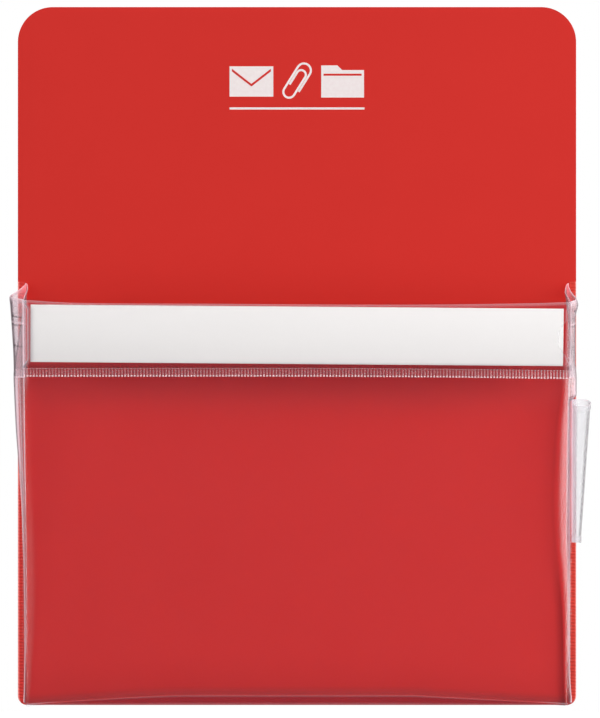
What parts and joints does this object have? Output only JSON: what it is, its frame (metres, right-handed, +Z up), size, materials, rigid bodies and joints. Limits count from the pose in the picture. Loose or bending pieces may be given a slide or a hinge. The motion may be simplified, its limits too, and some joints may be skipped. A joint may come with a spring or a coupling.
{
  "type": "magnetic document pocket",
  "caption": "Flat vinyl wall pocket with a magnetic back, a clear gusseted film pouch for upright sheets, a label strip with a sliding card at its mouth, and a tapered pen sleeve on one edge.",
  "frame": {"origin": "the middle of the magnet sheet's rear face, which lies on the wall", "axes": "X to the right as the pocket is read, Y into the wall, Z up"},
  "size_m": [0.25, 0.0263, 0.3],
  "materials": {
    "red_vinyl": "satin vinyl with a fine even grain",
    "magnet_rubber": "matt magnetic rubber sheet",
    "clear_film": "clear glossy soft vinyl film",
    "white_card": "uncoated white card"
  },
  "bodies": {
    "backing_body": {"backing_sheet": "red_vinyl", "magnet_sheet": "magnet_rubber", "left_weld_margin": "clear_film", "right_weld_margin": "clear_film", "bottom_weld_margin": "clear_film", "bottom_fold": "clear_film", "left_gusset": "clear_film", "right_gusset": "clear_film", "left_label_wing": "clear_film", "right_label_wing": "clear_film", "pen_sleeve_tab": "clear_film"},
    "front_body": {"pocket_front_panel": "clear_film", "label_window": "clear_film", "label_weld_band": "clear_film"},
    "card_body": {"label_card": "white_card"},
    "sleeve_body": {"pen_sleeve": "clear_film"}
  },
  "joints": [
    {"name": "pocket_open", "type": "hinge", "parent": "backing_body", "child": "front_body", "pos_m": [0, -0.0044, -0.145], "axis": [1, 0, 0], "range_deg": [-6.9, 0], "deforming": ["left_gusset", "right_gusset", "left_label_wing", "right_label_wing"]},
    {"name": "card_slide", "type": "slide", "parent": "front_body", "child": "card_body", "axis": [1, 0, 0], "range_m": [0, 0.24]},
    {"name": "sleeve_swing", "type": "hinge", "parent": "backing_body", "child": "sleeve_body", "pos_m": [0.11865, -0.00305, -0.049], "axis": [0, 0, -1], "range_deg": [-8, 12], "stiffness_Nm_per_rad": 0.0005}
  ]
}
